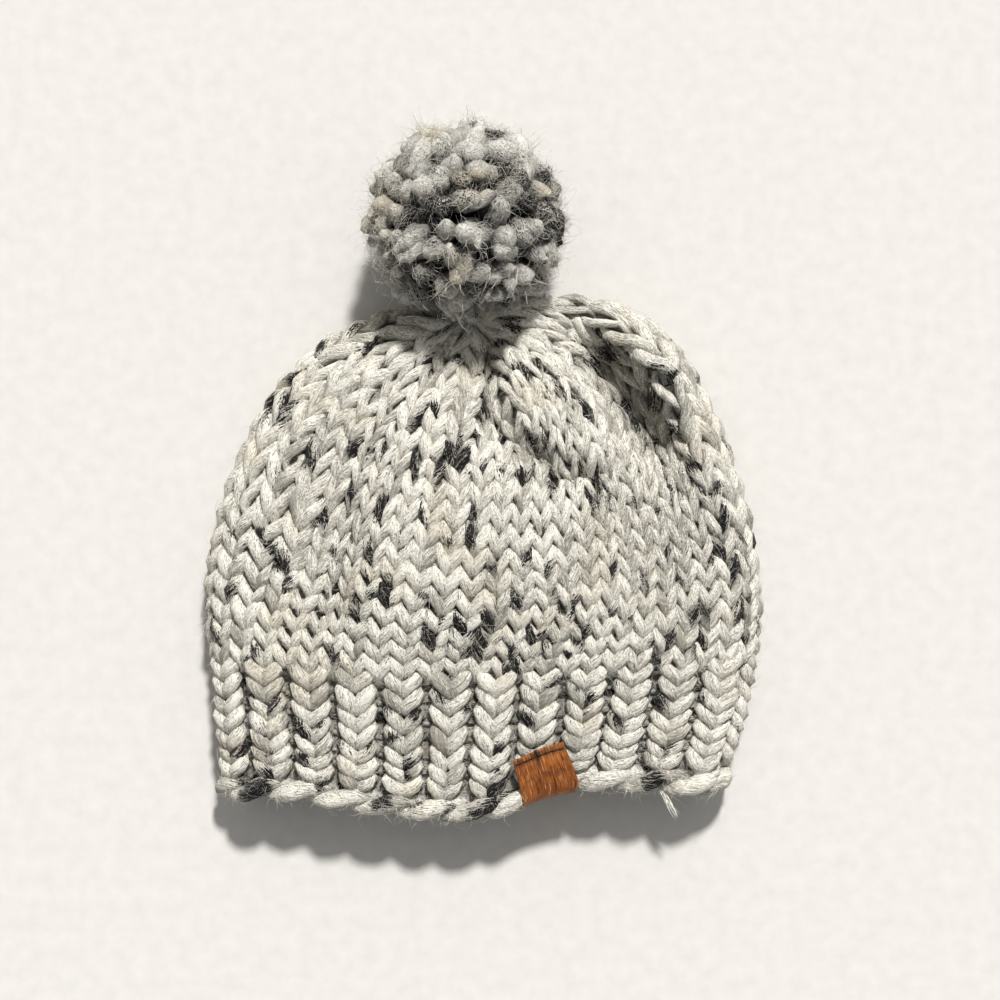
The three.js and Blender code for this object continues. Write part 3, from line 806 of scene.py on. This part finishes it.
# Tufts spread evenly over the ball, each from within it to its skin
def tuftTubes():
    count = pompom["tufts"]
    i = np.arange(count)
    high = 1 - (2 * i + 1) / count
    turn = i * math.pi * (3 - math.sqrt(5))
    wide = np.sqrt(1 - high**2)
    out = np.stack([wide * np.cos(turn), wide * np.sin(turn), high], -1)
    out = unit(out + rng.normal(0, pompom["scatter"], (count, 3)))
    aside = unit(np.cross(out, rng.normal(size=(count, 3))))
    other = np.cross(out, aside)
    s = tuftSteps
    bent = rng.choice(pompom["bends"], count) * rng.uniform(0.6, 1.0, count)
    tip = radius * rng.uniform(*pompom["tips"], count) * (1 - pompom["bentTips"] * bent)
    tip = tip - pompom["thick"] * 0.4
    root = pompom["from"] * radius
    reach = root + (tip - root)[:, None] * s
    drift = pompom["drift"] * radius * bent[:, None] * (s - 0.6) * s
    curl = pompom["curl"] * rng.uniform(-1, 1, count)[:, None]
    curl = curl * np.sin(rng.uniform(4, 8, count)[:, None] * s)
    paths = pompomCentre + out[:, None] * reach[..., None]
    paths = paths + aside[:, None] * drift[..., None] + other[:, None] * curl[..., None]
    rounding = np.clip((s - pompom["cap"]) / (1 - pompom["cap"]), 0, 0.975)
    fat = np.interp(s, *tuftFat) * np.sqrt(1 - rounding**2)
    fluffy = 1 + pompom["crestThicker"] * smooth(out[:, 1], 0.3, 0.8)
    radii = pompom["thick"] * fat * (fluffy * rng.uniform(*pompom["thickness"], count))[:, None]
    facing = np.broadcast_to(aside[:, None], paths.shape)
    part = tubeArrays(paths, radii, facing, pompom["sides"])
    big, small = (lumps(part["vertices"], size) for size in pompom["lumpSizes"])
    roughen(part, pompom["lumps"], big + pompom["smallLumps"] * small)
    part["outward"] = np.broadcast_to(out[:, None, None], part["vertices"].shape)
    return part


# The pompom's pale, warm and dark places, with painted shade deep between its tufts
def pompomColours(part):
    count = pompom["tufts"]
    away = (part["vertices"] - pompomCentre) / radius
    far = np.linalg.norm(away, axis=-1)
    # the far side, which faces the light, has painted light: it is paler, with less hollow shade
    # and mottling; it is also fluffier, and the left is warmer
    crest = smooth(away[..., 1] + 0.25 * away[..., 0] ** 2, 0.35, 0.85)
    # painted shade: the tufts darken deeper inside the ball
    hollowShade = 1 - smooth(far, pompom["hollowShadeFrom"], pompom["hollowShadeTo"])
    part["hollowShade"] = hollowShade * (1 - 0.6 * crest)
    leftward, upward = (away[..., 0] + 0.86) / 0.24, (away[..., 1] - 0.08) / 0.30
    part["warm"] = np.exp(-(leftward**2) - upward**2)
    yarnValues(part, darkness=pompom["darkness"], charting=False)
    spots, ends = np.zeros(far.shape), away[:, -2].mean(1)[:, None, None]
    for x, y in charcoal:  # a tuft that ends in a dark place is dark along its length
        for at, most in ((away, pompom["spotMost"]), (ends, pompom["endMost"])):
            near = ((at[..., 0] - x) ** 2 + (at[..., 1] - y) ** 2) / pompom["spot"] ** 2
            spots = np.maximum(spots, most * np.exp(-(near**2)) * (at[..., 2] > 0))
    dark = 0.5 * (rng.uniform(0, 1, count) < pompom["darkTufts"])[:, None, None]
    # darker towards -y: partly greyer wool and partly painted shade on the side away from the light
    low = pompom["low"] * smooth(-away[..., 1], 0.0, 0.8)
    mottled = rng.uniform(0, pompom["mottle"], (count, 1, 1)) * (1 - 0.8 * crest) + dark + low
    part["fleck"] = np.maximum(part["fleck"], np.maximum(spots, 0.8 * mottled))
    part["tone"] = np.maximum(part["tone"], 1.4 * mottled)


tuftPart = tuftTubes()
pompomColours(tuftPart)
tufts = joinTubes("pompomTufts", [tuftPart], (*yarnAttributes, "warm"))
finish(tufts, pompomWool, "pompom_yarn", "pompom")
print("stage: pompom")

# Loose fibres over the yarn: short bent hairs on its outer side
hairMaterial, tree, shader = newMaterial("looseFibre", Roughness=0.7, Specular_IOR_Level=0.3)
hairColour = blend(tree, attribute(tree, "tone"), (0.90, 0.885, 0.83, 1), (0.10, 0.095, 0.09, 1))
tree.links.new(hairColour, shader.inputs["Base Color"])
fibre = {
    "length": (0.003, 0.009), "rise": (0.0002, 0.0013), "riseMost": 2.5, "curl": 0.5, "points": 3,
    "thick": 0.00006, "thickness": (0.7, 1.3), "follow": 0.6, "darkest": 0.7, "clearOfTag": 0.0165,
}
hairTaper = ([0, 0.6, 1], [1, 0.8, 0.25])  # along a hair, how thick


def looseFibres(name, parts, count, slot, **changes):
    use = {**fibre, **changes}
    places, outward, facing = (
        np.concatenate([part[key].reshape(-1, 3) for part in parts])
        for key in ("vertices", "outward", "out"))
    # fibres over dark flecks and over painted hollow shade are darker
    darkness = np.concatenate([
        np.maximum(part["fleck"], 0.8 * part["hollowShade"]).ravel() for part in parts])
    clear = np.linalg.norm((places - tagMiddle)[:, :2], axis=1) > use["clearOfTag"]
    clear = clear | (places[:, 2] < frontFrom)  # none pokes through the leather
    shown = np.flatnonzero(((facing * outward).sum(1) > 0.2) & clear)
    pick = rng.choice(shown, count)
    start, normal = places[pick], unit(facing[pick] + outward[pick])
    flat = unit(np.cross(normal, rng.normal(size=(count, 3))))
    across = np.cross(normal, flat)
    s = np.linspace(0, 1, use["points"])[None, :, None]
    long = rng.uniform(*use["length"], count)[:, None, None]
    curl = rng.normal(0, use["curl"], count)[:, None, None]
    high = rng.uniform(*use["rise"], count)
    high = (high * np.minimum(rng.exponential(1.0, count), use["riseMost"]))[:, None, None]
    path = start[:, None] + long * (flat[:, None] * s + across[:, None] * curl * s * (s - 0.6))
    path = path + normal[:, None] * high * np.sin(2.2 * s)
    radii = use["thick"] * np.interp(s[:, :, 0], *hairTaper)
    radii = radii * rng.uniform(*use["thickness"], count)[:, None]
    part = tubeArrays(path, radii, np.broadcast_to(normal[:, None], path.shape), 3)
    shade = use["darkest"] * rng.uniform(0, 1, count) ** 3
    shade = np.maximum(shade, use["follow"] * darkness[pick])[:, None, None]
    part["tone"] = np.broadcast_to(shade, part["vertices"].shape[:3])
    finish(joinTubes(name, [part], ("tone",)), hairMaterial, slot)


looseFibres("bodyFibres", bodyTubes, 12000, "body_yarn")
looseFibres("domeFibres", domeTubes, 5400, "body_yarn")
looseFibres("bandFibres", bandTubes + edgeTubes, 8200, "band_yarn")
looseFibres(
    "pompomFibres", [tuftPart], 9000, "pompom_yarn",
    rise=(0.0003, 0.0026), length=(0.003, 0.008), points=4, follow=0.8)
looseFibres(
    "pompomHalo", [tuftPart], 2000, "pompom_yarn",
    rise=(0.0020, 0.0046), length=(0.003, 0.007), points=4, thick=0.00008)
print("stage: loose fibres")

# A wisp of yarn that hangs from the hem
wisp = {
    "from": (0.0752, -0.1342), "to": (0.0822, -0.1452), "high": 0.026, "drop": 0.002,
    "strands": 30, "points": 8, "sides": 5, "spread": 0.0006, "ends": (0.55, 1.15),
    "thick": (0.00010, 0.00032), "darkest": 0.1,
}
many = wisp["strands"]
s = np.linspace(0, 1, wisp["points"])
wispStart = np.array([*wisp["from"], wisp["high"]])
wispEnd = np.array([*wisp["to"], wisp["high"] - wisp["drop"]])
wispPath = wispStart + (wispEnd - wispStart) * s[:, None]
loose = rng.normal(0, 1, (many, 1, 3)) * wisp["spread"] * (0.25 + s[None, :, None])
waves = wisp["spread"] * np.sin(5 * s[None, :, None] + rng.uniform(0, anyPhase, (many, 1, 3)))
ends = rng.uniform(*wisp["ends"], (many, 1, 1))
wispPaths = wispPath[0] + (wispPath - wispPath[0])[None] * ends + loose + waves
wispRadii = rng.uniform(*wisp["thick"], (many, 1)) * np.sqrt(1.02 - s[None] ** 2)
wispFacing = np.broadcast_to([0.0, 0.0, 1.0], wispPaths.shape)
wispPart = tubeArrays(wispPaths, wispRadii, wispFacing, wisp["sides"])
wispShade = wisp["darkest"] * rng.uniform(0, 1, (many, 1, 1))
wispPart["tone"] = np.broadcast_to(wispShade, wispPart["vertices"].shape[:3])
finish(joinTubes("hemWisp", [wispPart], ("tone",)), hairMaterial, "edge_yarn")
print("stage: wisp")


# The leather tag, folded round the cast-on edge: a place on it from the way across it, the way
# along it from the fold's middle, and the lift off its own middle
def onTag(across, along, lift):
    standOff = halfWall + tag["gap"] + tag["thick"] / 2
    fold = math.pi * math.sqrt((standOff**2 + tagDrop**2) / 2)
    climb = np.maximum(0, np.abs(along) - fold / 2)
    leg = np.where(along > 0, frontLeg, tagLeg)
    narrow = across * (1 + (tag["topShare"] - 1) * climb / leg)
    turn = tagTurn - (narrow + tagSlant * climb) / np.linalg.norm(tagAround)
    upHere = hatTangents(turn, np.zeros_like(turn))[1]
    row = climb * math.hypot(1, tagSlant) / np.linalg.norm(upHere, axis=1)
    bend = np.pi * np.clip(along / fold, -0.5, 0.5)
    place, _ = hatSurface(turn, row, (standOff + lift) * np.sin(bend))
    return place - unit(upHere) * ((tagDrop + lift) * np.cos(bend))[:, None], climb / leg, fold


# How deep a place lies in the pinch and in the seam, from 0 to 1. above: from the fold to the end.
def seamLift(across, above):
    pinch = np.exp(-(((across - tag["pinchPlace"]) / tag["pinchWidth"]) ** 2))
    pinch = pinch * smooth(above, tag["pinchFrom"], tag["pinchTo"])
    seam = np.exp(-((((1 - above) * frontLeg - tag["seamDown"]) / tag["seamWidth"]) ** 2))
    return pinch, seam


def tagMesh():
    shape = bmesh.new()
    bmesh.ops.create_cube(shape, size=1.0)
    bmesh.ops.subdivide_edges(shape, edges=shape.edges[:], cuts=tag["cuts"], use_grid_fill=True)
    local = np.array([v.co[:] for v in shape.verts])
    inset = tag["rim"] * (1 - np.sqrt(np.maximum(0, 1 - (2 * local[:, 2]) ** 2)))
    across = local[:, 0] * (tag["width"] - 2 * inset)
    _, _, fold = onTag(across[:1], across[:1], across[:1])
    along = local[:, 1] * (2 * tagLeg + fold - 2 * inset)
    along = along * np.where(along > 0, 1 + tag["frontMore"] / (tagLeg + fold / 2), 1)
    above = np.maximum(0, along - fold / 2) / frontLeg
    pinch, seam = seamLift(across, above)
    bends = 3 * np.sin(along * tag["crinkleBends"])
    crinkle = tag["crinkle"] * np.sin(across * tag["crinkles"] + bends) * (0.3 + 0.7 * above)
    puff = tag["puff"] * smooth(above, 0.1, 0.5) * (1 - smooth(above, 0.6, 0.9))
    lift = local[:, 2] * tag["thick"] - tag["pinch"] * pinch - tag["seamSink"] * seam + puff
    place, _, _ = onTag(across, along, lift + crinkle * (local[:, 2] + 0.5))
    for vertex, point in zip(shape.verts, place):
        vertex.co = point
    bmesh.ops.recalc_face_normals(shape, faces=shape.faces[:])
    mesh = bpy.data.meshes.new("leatherTag")
    shape.to_mesh(mesh)
    shape.free()
    setAttribute(mesh, "hide", np.stack([across, along, local[:, 2]], -1))
    setAttribute(mesh, "crease", np.maximum(pinch, 0.5 * seam))
    mesh.polygons.foreach_set("use_smooth", np.ones(len(mesh.polygons), bool))
    return mesh, fold


leather = {
    "roughness": (0.15, 0.95), "stretch": (1700.0, 130.0, 1.0), "pores": 2600.0,
    "poreDepth": 0.15, "patches": 170.0, "patch": (0.35, 0.66), "bump": 0.0006,
    "brown": (0.21, 0.066, 0.012, 1), "lightBrown": (0.37, 0.132, 0.025, 1),
    "creaseBrown": (0.085, 0.024, 0.006, 1), "creased": (0.44, 0.33),
    "highlightBrown": (0.66, 0.37, 0.19, 1), "paintedHighlight": (0.56, 0.70), "seamBrown": (0.02, 0.008, 0.004, 1),
}


def leatherMaterial():
    material, tree, shader = newMaterial("cognacLeather", Roughness=0.34, Specular_IOR_Level=0.6)
    place = attribute(tree, "hide", "Vector")
    drawn = addNode(tree, "ShaderNodeMapping", Vector=place, Scale=leather["stretch"]).outputs[0]
    wrinkle = noise(tree, Vector=drawn, Scale=1.0, Detail=3.0, Roughness=0.65)
    pores = addNode(tree, "ShaderNodeTexVoronoi", Vector=place, Scale=leather["pores"]).outputs[0]
    patch = noise(tree, Vector=place, Scale=leather["patches"], Detail=2.0)
    patch = ramp(tree, patch, *leather["patch"])
    colour = blend(tree, patch, leather["brown"], leather["lightBrown"])
    colour = blend(tree, ramp(tree, wrinkle, *leather["creased"]), colour, leather["creaseBrown"])
    # painted highlight: pale brown on the wrinkles' crests
    colour = blend(tree, ramp(tree, wrinkle, *leather["paintedHighlight"]), colour, leather["highlightBrown"])
    colour = blend(tree, attribute(tree, "crease"), colour, leather["seamBrown"])
    height = calc(tree, "ADD", wrinkle, calc(tree, "MULTIPLY", pores, leather["poreDepth"]))
    bump = addNode(tree, "ShaderNodeBump", Height=height, Strength=0.8, Distance=leather["bump"])
    tree.links.new(colour, shader.inputs["Base Color"])
    tree.links.new(ramp(tree, wrinkle, *leather["roughness"]), shader.inputs["Roughness"])
    tree.links.new(bump.outputs[0], shader.inputs["Normal"])
    return material


tagShape, tagFold = tagMesh()
finish(link("leatherTag", tagShape), leatherMaterial(), "tag_leather", "leather_tag")

# The dark thread that holds it, in stitches that dip through the leather
thread = {
    "stitches": 7, "thick": 0.00030, "points": 120, "sides": 8, "reach": 0.47,
    "stand": 0.00028, "dip": 0.00060, "dipShape": 0.35,
}
s = np.linspace(-thread["reach"], thread["reach"], thread["points"])
threadAcross = s * tag["width"]
above = np.full_like(s, 1 - tag["seamDown"] / frontLeg)
pinch, seam = seamLift(threadAcross, above)
beat = np.abs(np.sin(np.pi * thread["stitches"] * (s / (2 * thread["reach"]) + 0.5)))
dip = thread["dip"] * (1 - beat ** thread["dipShape"])
lift = tag["thick"] / 2 - tag["pinch"] * pinch - tag["seamSink"] * seam + thread["stand"] - dip
threadPath, _, _ = onTag(threadAcross, tagFold / 2 + above * frontLeg, lift)
threadRadii = np.full((1, len(s)), thread["thick"])
threadPart = tubeArrays(threadPath[None], threadRadii, [[[0.0, 0.3, 1.0]]], thread["sides"])
threadMaterial, tree, shader = newMaterial("waxedThread", Roughness=0.55, Specular_IOR_Level=0.4)
twist = addNode(tree, "ShaderNodeTexCoord").outputs["Object"]
ply = noise(tree, Vector=twist, Scale=2400.0, Detail=2.0)
threadColour = blend(tree, ply, (0.012, 0.009, 0.008, 1), (0.055, 0.035, 0.025, 1))
tree.links.new(threadColour, shader.inputs["Base Color"])
finish(joinTubes("tagThread", [threadPart]), threadMaterial, "tag_leather")
print("stage: leather tag")

print("stage: done")
